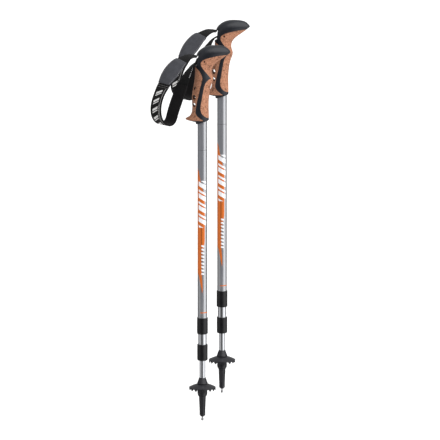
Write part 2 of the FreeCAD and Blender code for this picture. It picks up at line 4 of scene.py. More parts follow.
import bmesh
import bpy
import numpy as np
from bpy.props import FloatProperty, FloatVectorProperty, IntProperty, PointerProperty
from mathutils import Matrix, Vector


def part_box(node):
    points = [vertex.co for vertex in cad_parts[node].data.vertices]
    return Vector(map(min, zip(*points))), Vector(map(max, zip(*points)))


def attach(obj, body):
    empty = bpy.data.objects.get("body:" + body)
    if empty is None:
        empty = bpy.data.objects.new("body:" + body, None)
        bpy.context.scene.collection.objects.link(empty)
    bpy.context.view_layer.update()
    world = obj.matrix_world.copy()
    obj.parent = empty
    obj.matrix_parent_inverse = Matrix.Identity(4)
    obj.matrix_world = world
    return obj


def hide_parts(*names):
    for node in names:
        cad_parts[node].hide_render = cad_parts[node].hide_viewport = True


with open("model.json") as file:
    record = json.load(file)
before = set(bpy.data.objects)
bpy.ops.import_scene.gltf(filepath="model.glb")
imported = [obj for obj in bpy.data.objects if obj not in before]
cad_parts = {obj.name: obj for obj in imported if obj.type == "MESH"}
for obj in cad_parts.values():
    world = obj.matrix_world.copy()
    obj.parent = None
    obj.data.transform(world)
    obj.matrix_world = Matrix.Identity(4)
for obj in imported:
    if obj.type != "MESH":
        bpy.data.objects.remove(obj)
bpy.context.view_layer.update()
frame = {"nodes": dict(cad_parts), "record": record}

bl_info = {
    "name": "Trekking Poles",
    "version": (1, 0, 0),
    "blender": (4, 5, 0),
    "location": "View3D > Sidebar > Trekking Poles",
    "description": "Finishes and soft parts for a pair of trekking poles",
    "category": "Object",
}

MM = 0.001
SIDES = ("right", "left")
VIEW_AZIMUTH = 8.0
VIEW_ELEVATION = 11.0


def pole_axis(side):
    """Where the axis of one pole stands, from its upper tube."""
    low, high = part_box(side + "_upper_tube")
    return Vector(((low[0] + high[0]) / 2, (low[1] + high[1]) / 2, 0.0))


# ------------------------------------------------------------------ settings

class PoleFinishSettings(bpy.types.PropertyGroup):
    cork: FloatVectorProperty(name="Cork", description="Colour of the cork facings",
                              subtype="COLOR", size=3, default=(0.40, 0.185, 0.108))
    rubber: FloatVectorProperty(name="Rubber", description="Colour of the rubber skeleton",
                                subtype="COLOR", size=3, default=(0.0065, 0.0080, 0.0125))
    plastic: FloatVectorProperty(name="Collars", description="Colour of the collars",
                                 subtype="COLOR", size=3, default=(0.0035, 0.0035, 0.0045))
    tip: FloatVectorProperty(name="Tip and basket", description="Colour of tip and basket",
                             subtype="COLOR", size=3, default=(0.0105, 0.0103, 0.0135))
    silver: FloatVectorProperty(name="Tube metal", description="Colour of the bare tube",
                                subtype="COLOR", size=3, default=(0.60, 0.61, 0.635))
    print_grey: FloatVectorProperty(name="Grey print", description="Grey field of the tube print",
                                    subtype="COLOR", size=3, default=(0.190, 0.195, 0.213))
    print_orange: FloatVectorProperty(name="Orange print", description="Orange tube print",
                                      subtype="COLOR", size=3, default=(0.56, 0.125, 0.010))


class PoleStrapSettings(bpy.types.PropertyGroup):
    webbing_width: FloatProperty(name="Webbing width", description="Width round the wrist",
                                 unit="LENGTH", default=25.5 * MM)
    mouth_width: FloatProperty(name="Width at the head", description="Width in the slot",
                               unit="LENGTH", default=19 * MM)
    webbing_thickness: FloatProperty(name="Webbing thickness", description="One layer",
                                     unit="LENGTH", default=1.6 * MM)
    lining_thickness: FloatProperty(name="Lining thickness", description="Inner layer",
                                    unit="LENGTH", default=1.5 * MM)
    pad_thickness: FloatProperty(name="Pad thickness", description="Grey pad at its middle",
                                 unit="LENGTH", default=2.9 * MM)
    pad_width: FloatProperty(name="Pad width", description="Grey pad at its widest",
                             unit="LENGTH", default=33 * MM)
    stitch_length: FloatProperty(name="Stitch length", description="One stitch",
                                 unit="LENGTH", default=2.0 * MM)
    stitch_gap: FloatProperty(name="Stitch spacing", description="From stitch to stitch",
                              unit="LENGTH", default=2.7 * MM)


class PoleStageSettings(bpy.types.PropertyGroup):
    top_power: FloatProperty(name="Top light", description="Strength of the broad top light",
                             default=3.3)
    floor_gap: FloatProperty(name="Floor gap", description="From the drawn-out tips to the floor",
                             unit="LENGTH", default=20 * MM)
    floor_reach: FloatProperty(name="Floor", description="How far the floor reaches each way",
                               unit="LENGTH", default=300.0)
    lens: FloatProperty(name="Lens", description="Focal length of the camera in mm",
                        default=1600.0)


# ------------------------------------------------------------------ material wiring

class Wiring:
    """A material and short ways to add its nodes."""

    def __init__(self, name):
        self.material = bpy.data.materials.new(name)
        self.material.use_nodes = True
        self.tree = self.material.node_tree
        self.shader = self.tree.nodes["Principled BSDF"]
        coords = self.tree.nodes.new("ShaderNodeTexCoord")
        self.place = coords.outputs["Object"]
        self.uv = coords.outputs["UV"]

    def put(self, socket, value):
        """Links an output to a socket, or sets a constant on it."""
        if isinstance(value, bpy.types.NodeSocket):
            self.tree.links.new(value, socket)
        elif hasattr(socket.default_value, "__len__") and len(socket.default_value) == 4:
            socket.default_value = (*value[:3], 1.0)
        else:
            socket.default_value = value

    def set(self, name, value):
        """Sets or links a socket of the shader."""
        self.put(self.shader.inputs[name], value)

    def sum(self, op, a, b=0.0):
        """One step of arithmetic."""
        node = self.tree.nodes.new("ShaderNodeMath")
        node.operation = op
        for socket, value in zip(node.inputs, (a, b)):
            self.put(socket, value)
        return node.outputs[0]

    def axes(self, vector):
        """The three parts of a vector."""
        node = self.tree.nodes.new("ShaderNodeSeparateXYZ")
        self.put(node.inputs[0], vector)
        return node.outputs[0], node.outputs[1], node.outputs[2]

    def scaled(self, vector, scale):
        """The vector with its axes stretched."""
        node = self.tree.nodes.new("ShaderNodeMapping")
        self.put(node.inputs["Vector"], vector)
        node.inputs["Scale"].default_value = scale
        return node.outputs[0]

    def noise(self, vector, scale, detail=2.0, rough=0.5):
        """Cloudy grain from 0 to 1."""
        node = self.tree.nodes.new("ShaderNodeTexNoise")
        self.put(node.inputs["Vector"], vector)
        node.inputs["Scale"].default_value = scale
        node.inputs["Detail"].default_value = detail
        node.inputs["Roughness"].default_value = rough
        return node.outputs["Fac"]

    def cells(self, vector, scale, output="Color"):
        """Granules, as a colour for each or the distance from its middle."""
        node = self.tree.nodes.new("ShaderNodeTexVoronoi")
        self.put(node.inputs["Vector"], vector)
        node.inputs["Scale"].default_value = scale
        return node.outputs[output]

    def span(self, value, low, high, to_low=0.0, to_high=1.0):
        """The value moved from one range to another and held at its ends."""
        node = self.tree.nodes.new("ShaderNodeMapRange")
        for key, number in zip((1, 2, 3, 4), (low, high, to_low, to_high)):
            self.put(node.inputs[key], number)
        self.put(node.inputs[0], value)
        return node.outputs[0]

    def ramp(self, value, stops):
        """The colour or grey level that belongs to the value."""
        node = self.tree.nodes.new("ShaderNodeValToRGB")
        fill_ramp(node, stops)
        self.put(node.inputs[0], value)
        return node.outputs[0]

    def mixed(self, share, a, b):
        """Colour b laid over colour a."""
        node = self.tree.nodes.new("ShaderNodeMix")
        node.data_type = "RGBA"
        self.put(node.inputs[0], share)
        self.put(node.inputs[6], a)
        self.put(node.inputs[7], b)
        return node.outputs[2]

    def bumped(self, height, depth, strength):
        """Fine relief of the surface, its depth in metres."""
        node = self.tree.nodes.new("ShaderNodeBump")
        node.inputs["Strength"].default_value = strength
        node.inputs["Distance"].default_value = depth
        self.put(node.inputs["Height"], height)
        self.put(self.shader.inputs["Normal"], node.outputs[0])

    def between(self, value, low, high, soft):
        """1 between two edges, falling to 0 over the soft width."""
        rise = self.span(value, self.sum("SUBTRACT", low, soft), low)
        fall = self.span(value, high, self.sum("ADD", high, soft), 1.0, 0.0)
        return self.sum("MULTIPLY", rise, fall)

    def repeats(self, along, pitch, lean=0.0):
        """0 to 1 over and over along a run, slanted by the lean."""
        return self.sum("FRACT", self.sum("DIVIDE", self.sum("ADD", along, lean), pitch))


def fill_ramp(node, stops):
    """Puts the stops on a colour ramp, each made at its own position."""
    elements = node.color_ramp.elements
    while len(elements) > 1:
        elements.remove(elements[-1])
    elements[0].position = stops[0][0]
    elements[0].color = grey_or_colour(stops[0][1])
    for position, colour in stops[1:]:
        elements.new(position).color = grey_or_colour(colour)


def grey_or_colour(value):
    """RGBA from one grey level or three colour values."""
    if isinstance(value, (int, float)):
        return (value, value, value, 1.0)
    return (*value[:3], 1.0)


def tinted(colour, factor):
    """The colour made lighter or darker."""
    return tuple(min(1.0, c * factor) for c in colour)


# ------------------------------------------------------------------ finishes

DRAWN_DEPTH = 0.012 * MM


def cork_material(settings, name="cork", shade=1.0):
    """Pressed cork: granules, dark flecks and small pits. A shade below 1 darkens the whole colour
    as painted shade.
    """
    w = Wiring(name)
    base = tinted(settings.cork, shade)
    granules = w.cells(w.place, 620.0)
    tone = w.axes(granules)[0]
    colour = w.ramp(tone, [(0.0, tinted(base, 0.62)), (0.35, tinted(base, 0.92)),
                           (0.7, tinted(base, 1.08)), (1.0, tinted(base, 1.30))])
    fine = w.noise(w.place, 1500.0, 3.0, 0.6)
    colour = w.mixed(w.span(fine, 0.56, 0.70), colour, tinted(base, 0.26))
    flecks = w.axes(w.cells(w.place, 330.0))[1]
    colour = w.mixed(w.span(flecks, 0.90, 0.96, 0.0, 0.75), colour, tinted(base, 0.30))
    broad = w.noise(w.place, 55.0, 2.0)
    colour = w.mixed(w.span(broad, 0.3, 0.7, 0.0, 0.25), colour, tinted(base, 0.74))
    w.set("Base Color", colour)
    w.set("Roughness", 0.82)
    w.set("Specular IOR Level", 0.25)
    pits = w.sum("MULTIPLY", w.span(fine, 0.55, 0.75, 1.0, 0.0), w.span(tone, 0, 1, 0.7, 1.0))
    w.bumped(pits, 0.00022, 0.7)
    return w.material


def rubber_material(settings):
    """Fine-grained dark rubber."""
    w = Wiring("grip rubber")
    base = settings.rubber
    grain = w.noise(w.place, 1800.0, 2.0)
    broad = w.noise(w.place, 70.0, 2.0)
    w.set("Base Color", w.ramp(broad, [(0.3, tinted(base, 0.85)), (0.7, tinted(base, 1.2))]))
    w.set("Roughness", w.span(broad, 0.3, 0.7, 0.42, 0.50))
    w.set("Specular IOR Level", 0.42)
    w.bumped(grain, 0.00006, 0.5)
    return w.material


def plastic_material(name, base, roughness):
    """Moulded plastic with a light grain."""
    w = Wiring(name)
    grain = w.noise(w.place, 2600.0, 2.0)
    broad = w.noise(w.place, 90.0, 2.0)
    w.set("Base Color", w.ramp(broad, [(0.3, tinted(base, 0.85)), (0.7, tinted(base, 1.18))]))
    w.set("Roughness", w.span(broad, 0.3, 0.7, roughness - 0.04, roughness + 0.05))
    w.set("Specular IOR Level", 0.34)
    w.bumped(grain, 0.00005, 0.5)
    return w.material


def drawn_lines(w):
    """Faint lines along a tube from its drawing."""
    return w.noise(w.scaled(w.place, (900.0, 900.0, 18.0)), 1.0, 3.0)


def bare_tube_material(settings):
    """Drawn aluminium without print."""
    w = Wiring("bare tube")
    base = settings.silver
    drawn = drawn_lines(w)
    w.set("Base Color", w.ramp(drawn, [(0.3, tinted(base, 0.93)), (0.7, tinted(base, 1.05))]))
    w.set("Metallic", 1.0)
    w.set("Roughness", w.span(drawn, 0.3, 0.7, 0.26, 0.34))
    w.bumped(drawn, DRAWN_DEPTH, 0.4)
    return w.material


def metal_material(name, base, roughness):
    """Worn steel or hard metal."""
    w = Wiring(name)
    grain = w.noise(w.place, 900.0, 3.0)
    w.set("Base Color", w.ramp(grain, [(0.3, tinted(base, 0.86)), (0.7, tinted(base, 1.1))]))
    w.set("Metallic", 1.0)
    w.set("Roughness", w.span(grain, 0.3, 0.7, roughness - 0.05, roughness + 0.06))
    w.bumped(grain, 0.00003, 0.4)
    return w.material


# Height up the pole in mm against how far round the tube from the front, as a share of the
# half that faces the front: 0 at its left edge and 1 at its right edge.
PRINT_LOW, PRINT_HIGH = 168.0, 571.0
ORANGE_RIGHT = [(243, 0.49), (250, 0.53), (262, 0.50), (276, 0.44), (300, 0.44), (322, 0.50),
                (337, 0.72), (345, 0.74), (428, 0.74), (440, 0.50), (455, 0.30), (474, 0.12),
                (492, 0.0)]
ORANGE_LEFT = [(243, 0.49), (250, 0.42), (262, 0.28), (276, 0.14), (296, 0.0)]
GREY_LEFT = [(195, 0.30), (236, 0.34), (252, 0.50), (275, 0.47), (300, 0.47), (455, 0.30),
             (474, 0.12), (492, 0.02), (515, 0.0)]
GREY_RIGHT = [(195, 0.62), (240, 0.62), (275, 0.60), (300, 0.52), (330, 0.52), (440, 0.50),
              (458, 0.63), (571, 0.63)]

# Runs of the print up the pole in mm, and where its marks lie from left to right as a share of
# the half that faces the front.
GREY_FADE = (180.0, 232.0)
GREY_ENDS = (300.0, 284.0)
GREY_RETURNS = (449.0, 457.0)
ORANGE_RUN = (243.5, 490.0)
LINE_RUN, LINE_ACROSS = (300.0, 366.0), (0.35, 0.43)
BARS_RUN, BARS_ACROSS = (367.0, 455.0), (0.12, 0.86)
BARS_START, BARS_PITCH, BARS_LEAN = 366.0, 22.4, 30.0
BROAD_BAR, NARROW_BAR = (0.06, 0.42), (0.58, 0.74)
DASHES_RUN, DASHES_ACROSS = (278.0, 336.0), (0.40, 0.68)
DASHES_PITCH, DASHES_LEAN, DASH = 6.6, 14.0, (0.12, 0.60)
DOTS_RUN, DOTS_ACROSS = (250.0, 336.0), (0.90, 0.935)
DOTS_PITCH, DOT = 2.6, (0.2, 0.55)
RING_RUN, RING_LEFT, RING_END = (204.8, 206.4), 0.28, 0.95
RULE_RUN = (512.6, 513.2)
PRINT_EDGE = 0.004
WHITE_BARS, WHITE_DASHES = (0.80, 0.81, 0.84), (0.78, 0.79, 0.82)
DARK_DOTS, DARK_RULE = (0.05, 0.05, 0.06), (0.03, 0.03, 0.035)


def round_share(share):
    """Share of the visible half turned into a share of the full turn."""
    return 0.5 + math.asin(max(-1.0, min(1.0, 2 * share - 1))) / (2 * math.pi)


def up_share(height):
    """Height in mm as a share of the printed length."""
    return (height - PRINT_LOW) / (PRINT_HIGH - PRINT_LOW)


def edge_of_print(w, height, points, wrap=None):
    """Where an edge of the print lies round the tube, at every height."""
    stops = []
    for z, share in points:
        value = round_share(share)
        if wrap is not None and share <= 0.0:
            value = wrap
        stops.append((up_share(z), value))
    return w.ramp(height, stops)


def round_tube(w, axis):
    """How far round the tube a point lies, as a share of the full turn: 0.5 at the front."""
    x, y, _ = w.axes(w.place)
    x = w.sum("SUBTRACT", x, axis.x)
    y = w.sum("SUBTRACT", y, axis.y)
    turn = math.radians(VIEW_AZIMUTH)
    across = w.sum("ADD", w.sum("MULTIPLY", x, math.cos(turn)),
                   w.sum("MULTIPLY", y, math.sin(turn)))
    facing = w.sum("SUBTRACT", w.sum("MULTIPLY", x, math.sin(turn)),
                   w.sum("MULTIPLY", y, math.cos(turn)))
    angle = w.sum("ARCTAN2", across, facing)
    return w.sum("ADD", w.sum("DIVIDE", angle, 2 * math.pi), 0.5)


def printed_tube_material(settings, side):
    """Brushed tube with a grey field, an orange sweep and generic slanted bars."""
    w = Wiring(side + " printed tube")
    place = round_tube(w, pole_axis(side))
    up = w.sum("MULTIPLY", w.axes(w.place)[2], 1 / MM)
    height = w.span(up, PRINT_LOW, PRINT_HIGH)

    def patch(run, run_edge, across, across_edge=PRINT_EDGE):
        """1 inside a patch of the tube, from its run and its place on the front half."""
        left, right = (round_share(share) for share in across)
        return w.sum("MULTIPLY", w.between(place, left, right, across_edge),
                     w.between(up, *run, run_edge))

    silver = tinted(settings.silver, 0.72)
    drawn = drawn_lines(w)
    colour = w.ramp(drawn, [(0.3, tinted(silver, 0.94)), (0.7, tinted(silver, 1.04))])

    grey = w.between(place, edge_of_print(w, height, GREY_LEFT, 0.02),
                     edge_of_print(w, height, GREY_RIGHT), 0.006)
    grey = w.sum("MULTIPLY", grey, w.span(up, *GREY_FADE))
    grey = w.sum("MULTIPLY", grey, w.sum("MAXIMUM", w.span(up, *GREY_ENDS),
                                         w.span(up, *GREY_RETURNS)))
    colour = w.mixed(grey, colour, settings.print_grey)

    orange = w.between(place, edge_of_print(w, height, ORANGE_LEFT, 0.03),
                       edge_of_print(w, height, ORANGE_RIGHT, 0.0), PRINT_EDGE)
    orange = w.sum("MULTIPLY", orange, w.between(up, *ORANGE_RUN, 0.5))
    colour = w.mixed(orange, colour, settings.print_orange)

    line = patch(LINE_RUN, 6.0, LINE_ACROSS)
    colour = w.mixed(w.sum("MULTIPLY", line, 0.75), colour, tinted(settings.print_orange, 0.32))

    # bold slanted bars, a broad and a narrow one by turns
    beat = w.repeats(w.sum("SUBTRACT", up, BARS_START), BARS_PITCH,
                     w.sum("MULTIPLY", place, BARS_LEAN))
    bars = w.sum("ADD", w.between(beat, *BROAD_BAR, 0.02), w.between(beat, *NARROW_BAR, 0.02))
    bars = w.sum("MULTIPLY", bars, patch(BARS_RUN, 0.4, BARS_ACROSS))
    colour = w.mixed(bars, colour, WHITE_BARS)

    # a run of small slanted dashes lower down
    beat = w.repeats(up, DASHES_PITCH, w.sum("MULTIPLY", place, DASHES_LEAN))
    dashes = w.sum("MULTIPLY", w.between(beat, *DASH, 0.04),
                   patch(DASHES_RUN, 0.4, DASHES_ACROSS))
    colour = w.mixed(dashes, colour, WHITE_DASHES)

    # fine dotted scale at the side
    beat = w.repeats(up, DOTS_PITCH)
    dots = w.sum("MULTIPLY", w.between(beat, *DOT, 0.05),
                 patch(DOTS_RUN, 1.0, DOTS_ACROSS, 0.003))
    colour = w.mixed(w.sum("MULTIPLY", dots, 0.7), colour, DARK_DOTS)

    ring = w.sum("MULTIPLY", w.between(up, *RING_RUN, 0.2),
                 w.between(place, round_share(RING_LEFT), RING_END, PRINT_EDGE))
    colour = w.mixed(ring, colour, settings.print_orange)
    rule = w.between(up, *RULE_RUN, 0.2)
    colour = w.mixed(w.sum("MULTIPLY", rule, 0.6), colour, DARK_RULE)

    inked = w.sum("MAXIMUM", w.sum("MAXIMUM", orange, bars), w.sum("MAXIMUM", dashes, ring))
    metal = w.sum("SUBTRACT", 1.0, w.sum("MULTIPLY", inked, 0.80))
    metal = w.sum("MULTIPLY", metal, w.sum("SUBTRACT", 1.0, w.sum("MULTIPLY", grey, 0.62)))
    w.set("Base Color", colour)
    w.set("Metallic", metal)
    w.set("Roughness", w.span(drawn, 0.3, 0.7, 0.36, 0.43))
    w.bumped(drawn, DRAWN_DEPTH, 0.4)
    return w.material


# The strap's print, in mm along the loop and across it
STRAP_BARS_RUN, STRAP_BARS_ACROSS = (112.0, 196.0), (-7.0, 5.0)
STRAP_BARS_PITCH, STRAP_BARS_LEAN = 16.0, 0.55
STRAP_BROAD_BAR, STRAP_NARROW_BAR = (0.12, 0.36), (0.48, 0.58)
STRAP_LINE_RUN, STRAP_LINE_ACROSS = (108.0, 214.0), (9.9, 10.5)
STRAP_MARKS_RUN, STRAP_MARKS_ACROSS = (138.0, 172.0), (7.3, 8.7)
STRAP_MARKS_PITCH, STRAP_MARK = 3.1, (0.15, 0.60)
STRAP_PRINT = (0.62, 0.61, 0.60)
WEAVE_PITCH = 1.1 * MM


def woven(w, base, dark, pale, pitch=WEAVE_PITCH):
    """Gives webbing its plain weave from the strap's own map: its colour and its fuzz."""
    u, v, _ = w.axes(w.uv)
    weave = w.sum("MULTIPLY", w.sum("SINE", w.sum("MULTIPLY", u, 2 * math.pi / pitch)),
                  w.sum("SINE", w.sum("MULTIPLY", v, 2 * math.pi / pitch)))
    fuzz = w.noise(w.scaled(w.uv, (1400.0, 700.0, 1.0)), 1.0, 2.0)
    tone = w.sum("ADD", w.sum("MULTIPLY", weave, 0.22), fuzz)
    w.set("Sheen Weight", 0.03)
    w.set("Sheen Roughness", 0.5)
    w.bumped(w.sum("ADD", weave, fuzz), 0.1 * MM, 0.7)
    stops = [(0.25, tinted(base, dark)), (0.55, base), (0.85, tinted(base, pale))]
    return w.ramp(tone, stops), fuzz


def webbing_material(name, base, pitch=WEAVE_PITCH):
    """Plain webbing or lining."""
    w = Wiring(name)
    colour, _ = woven(w, base, 0.55, 1.8, pitch)
    w.set("Base Color", colour)
    w.set("Roughness", 0.85)
    w.set("Specular IOR Level", 0.14)
    return w.material


def printed_webbing_material():
    """Black webbing with a generic row of slanted bars along its outer face."""
    w = Wiring("printed webbing")
    colour, fuzz = woven(w, (0.0028, 0.0027, 0.0029), 0.5, 2.2)
    u, v, _ = w.axes(w.uv)
    along = w.sum("MULTIPLY", v, 1 / MM)
    across = w.sum("MULTIPLY", u, 1 / MM)

    beat = w.repeats(along, STRAP_BARS_PITCH, w.sum("MULTIPLY", across, STRAP_BARS_LEAN))
    bars = w.sum("ADD", w.between(beat, *STRAP_BROAD_BAR, 0.02),
                 w.between(beat, *STRAP_NARROW_BAR, 0.02))
    bars = w.sum("MULTIPLY", bars, w.between(across, *STRAP_BARS_ACROSS, 0.3))
    bars = w.sum("MULTIPLY", bars, w.between(along, *STRAP_BARS_RUN, 0.3))
    line = w.sum("MULTIPLY", w.between(across, *STRAP_LINE_ACROSS, 0.15),
                 w.between(along, *STRAP_LINE_RUN, 0.3))
    marks = w.sum("MULTIPLY", w.between(w.repeats(along, STRAP_MARKS_PITCH), *STRAP_MARK, 0.06),
                  w.between(across, *STRAP_MARKS_ACROSS, 0.2))
    marks = w.sum("MULTIPLY", marks, w.between(along, *STRAP_MARKS_RUN, 0.3))
    ink = w.sum("MAXIMUM", bars, w.sum("MULTIPLY", w.sum("MAXIMUM", line, marks), 0.6))
    worn = w.span(fuzz, 0.25, 0.6, 0.55, 1.0)
    w.set("Base Color", w.mixed(w.sum("MULTIPLY", ink, worn), colour, STRAP_PRINT))
    w.set("Roughness", 0.8)
    w.set("Specular IOR Level", 0.16)
    return w.material


def pad_material():
    """Knitted cloth over the wrist pad."""
    w = Wiring("pad cloth")
    base = (0.036, 0.037, 0.043)
    knit = w.cells(w.place, 1500.0, "Distance")
    broad = w.noise(w.place, 130.0, 3.0)
    tone = w.sum("ADD", w.sum("MULTIPLY", knit, 0.5), w.sum("MULTIPLY", broad, 0.6))
    w.set("Base Color", w.ramp(tone, [(0.3, tinted(base, 0.75)), (0.8, tinted(base, 1.35))]))
    w.set("Roughness", 0.9)
    w.set("Specular IOR Level", 0.25)
    w.set("Sheen Weight", 0.16)
    w.set("Sheen Roughness", 0.40)
    w.bumped(knit, 0.00012, 0.6)
    return w.material


def thread_material():
    """Pale twisted thread."""
    w = Wiring("stitch thread")
    twist = w.noise(w.place, 4000.0, 1.0)
    w.set("Base Color", w.ramp(twist, [(0.3, (0.22, 0.21, 0.21)), (0.7, (0.42, 0.40, 0.40))]))
    w.set("Roughness", 0.7)
    return w.material


# ------------------------------------------------------------------ strap shape

# Route of the loop in mm from the pole's axis and up the pole, with the direction its width
# points, from the upper mouth of the head round to the lower one.
STRAP_ROUTE = [
    ((-10.0, 0.0, 687.0), (0.00, -1.00, 0.00)),
    ((-15.8, -0.9, 688.0), (0.04, -1.00, -0.02)),
    ((-21.4, -6.8, 688.9), (0.22, -0.97, -0.08)),
    ((-27.4, -17.2, 687.6), (0.48, -0.85, -0.22)),
    ((-37.3, -30.7, 681.6), (0.78, -0.52, -0.34)),
    ((-51.8, -50.0, 664.0), (0.86, -0.42, -0.28)),
    ((-62.6, -64.2, 645.6), (0.85, -0.50, -0.12)),
    ((-71.4, -75.8, 625.0), (0.81, -0.58, 0.06)),
    ((-75.4, -81.2, 603.0), (0.81, -0.58, 0.06)),
    ((-73.4, -78.4, 585.5), (0.81, -0.58, 0.00)),
    ((-67.2, -70.3, 574.2), (0.81, -0.58, 0.00)),
    ((-59.2, -59.8, 570.2), (0.81, -0.58, -0.04)),
    ((-52.8, -51.3, 575.2), (0.81, -0.58, -0.10)),
    ((-49.4, -46.8, 586.5), (0.81, -0.57, -0.15)),
    ((-44.2, -39.8, 605.8), (0.81, -0.56, -0.20)),
    ((-35.7, -28.6, 633.0), (0.76, -0.60, -0.24)),
    ((-26.6, -16.6, 659.0), (0.48, -0.86, -0.14)),
    ((-19.8, -6.0, 671.2), (0.20, -0.98, -0.02)),
    ((-15.0, -0.9, 675.6), (0.04, -1.00, 0.00)),
    ((-10.0, 0.0, 678.1), (0.00, -1.00, 0.00)),
]
FIRST_WAY = (-1.0, 0.0, 0.25)
LAST_WAY = (1.0, 0.0, 0.45)
STRAP_STEPS = 260
ROUTE_SAMPLES = 1200
TWIST_PASSES = 12
NEARBY = 0.05

# Shares of the loop where the pad and the lining lie, and over which the webbing widens
PAD_FROM, PAD_TO = 0.12, 0.30
LINING_TO = 0.84
WIDENS_OVER = 0.2

LAYER_GAP = 0.05 * MM
LINING_OVERHANG = 0.8 * MM
PAD_EDGE = 0.9 * MM
PAD_EDGE_FACE = 0.45 * MM
PAD_COLUMNS = 22
THREAD_RADIUS = 0.22 * MM


def natural_curve(points, first, last):
    """Clamped cubic spline through the points: a function of the share of its chord length."""
    p = np.array(points, float)
    steps = np.linalg.norm(np.diff(p, axis=0), axis=1)
    t = np.concatenate([[0.0], np.cumsum(steps)])
    n = len(p)
    a = np.zeros((n, n))
    b = np.zeros((n, 3))
    a[0, 0] = a[-1, -1] = 1.0
    b[0] = np.array(first) / np.linalg.norm(first)
    b[-1] = np.array(last) / np.linalg.norm(last)
    for i in range(1, n - 1):
        h0, h1 = steps[i - 1], steps[i]
        a[i, i - 1] = h1
        a[i, i] = 2 * (h0 + h1)
        a[i, i + 1] = h0
        b[i] = 3 * (h1 * (p[i] - p[i - 1]) / h0 + h0 * (p[i + 1] - p[i]) / h1)
    slopes = np.linalg.solve(a, b)

    def at(s):
        i = int(min(max(np.searchsorted(t, s) - 1, 0), n - 2))
        h = steps[i]
        f = (s - t[i]) / h
        h00 = 2 * f ** 3 - 3 * f ** 2 + 1
        h10 = f ** 3 - 2 * f ** 2 + f
        h01 = -2 * f ** 3 + 3 * f ** 2
        h11 = f ** 3 - f ** 2
        return h00 * p[i] + h10 * h * slopes[i] + h01 * p[i + 1] + h11 * h * slopes[i + 1]
    return at, t


def squared(across, along):
    """The width direction made square to the run, at length 1."""
    across = across - along * across.dot(along)
    return across / np.linalg.norm(across)


def eased(f):
    """0 to 1 with a soft start and end."""
    return f * f * (3 - 2 * f)


def strap_stations(axis):
    """Centre, width direction, outward direction and run, all along the loop, in metres."""
    at, marks = natural_curve([place for place, _ in STRAP_ROUTE], FIRST_WAY, LAST_WAY)
    widths = np.array([across for _, across in STRAP_ROUTE], float)
    chord = np.linspace(0, marks[-1], ROUTE_SAMPLES)
    dense = np.array([at(s) for s in chord])
    run = np.concatenate([[0], np.cumsum(np.linalg.norm(np.diff(dense, axis=0), axis=1))])
    centres, turns, lengths = [], [], []
    for i in range(STRAP_STEPS + 1):
        length = run[-1] * i / STRAP_STEPS
        s = float(np.interp(length, run, chord))
        k = int(min(max(np.searchsorted(marks, s) - 1, 0), len(marks) - 2))
        f = eased((s - marks[k]) / (marks[k + 1] - marks[k]))
        step = at(min(s + NEARBY, marks[-1])) - at(max(s - NEARBY, 0.0))
        turns.append(squared(widths[k] * (1 - f) + widths[k + 1] * f,
                             step / np.linalg.norm(step)))
        centres.append(at(s) * MM + np.array(axis))
        lengths.append(length * MM)
    turns = np.array(turns)
    for _ in range(TWIST_PASSES):
        turns[1:-1] = (turns[:-2] + 2 * turns[1:-1] + turns[2:]) / 4
    stations = []
    for i, (centre, turn, length) in enumerate(zip(centres, turns, lengths)):
        step = centres[min(i + 1, STRAP_STEPS)] - centres[max(i - 1, 0)]
        along = step / np.linalg.norm(step)
        across = squared(turn, along)
        stations.append((centre, across, np.cross(along, across), length))
    return stations


def webbing_width(share, settings):
    """Width of the webbing at a share of the loop: narrow at the head."""
    grow = eased(min(min(share, 1 - share) / WIDENS_OVER, 1.0))
    return settings.mouth_width + (settings.webbing_width - settings.mouth_width) * grow


def pad_width(share, settings):
    """Width of the pad: swelling from both ends."""
    f = (share - PAD_FROM) / (PAD_TO - PAD_FROM)
    f = min(max(f, 0.0), 1.0)
    narrow = settings.mouth_width + 6 * MM
    if f > 0.5:
        narrow = settings.webbing_width
    return narrow + (settings.pad_width - narrow) * math.sin(math.pi * f) ** 0.75


def flat_section(width, inner, outer, rounding, pieces):
    """Outline of a flat band with rounded edges, as (across, out) going round once."""
    half = width / 2
    r = min(rounding, (outer - inner) / 2 * 0.98)
    outline = []
    for cx, cy, start in ((half - r, outer - r, 0), (-half + r, outer - r, 90),
                          (-half + r, inner + r, 180), (half - r, inner + r, 270)):
        for i in range(4):
            angle = math.radians(start + 90 * i / 3)
            outline.append((cx + r * math.cos(angle), cy + r * math.sin(angle)))
    full = []
    for i, (x, y) in enumerate(outline):
        full.append((x, y))
        if i in (3, 11):
            nx, ny = outline[(i + 1) % len(outline)]
            for j in range(1, pieces):
                f = j / pieces
                full.append((x + (nx - x) * f, y + (ny - y) * f))
    return full


def pad_section(share, settings):
    """Crowned outline of the pad, thin at its sewn edges."""
    width = pad_width(share, settings)
    f = (share - PAD_FROM) / (PAD_TO - PAD_FROM)
    ends = min(1.0, math.sin(math.pi * min(max(f, 0.02), 0.98)) * 2.2)
    thick = PAD_EDGE + (settings.pad_thickness - PAD_EDGE) * ends
    inner = settings.webbing_thickness + LAYER_GAP
    outline = []
    for i in range(PAD_COLUMNS + 1):
        x = 1 - 2 * i / PAD_COLUMNS
        crown = 1 - abs(x) ** 3.2
        outline.append((x * width / 2, inner + PAD_EDGE_FACE + (thick - PAD_EDGE_FACE) * crown))
    for i in range(PAD_COLUMNS + 1):
        x = -1 + 2 * i / PAD_COLUMNS
        outline.append((x * width / 2 * 0.985, inner))
    return outline


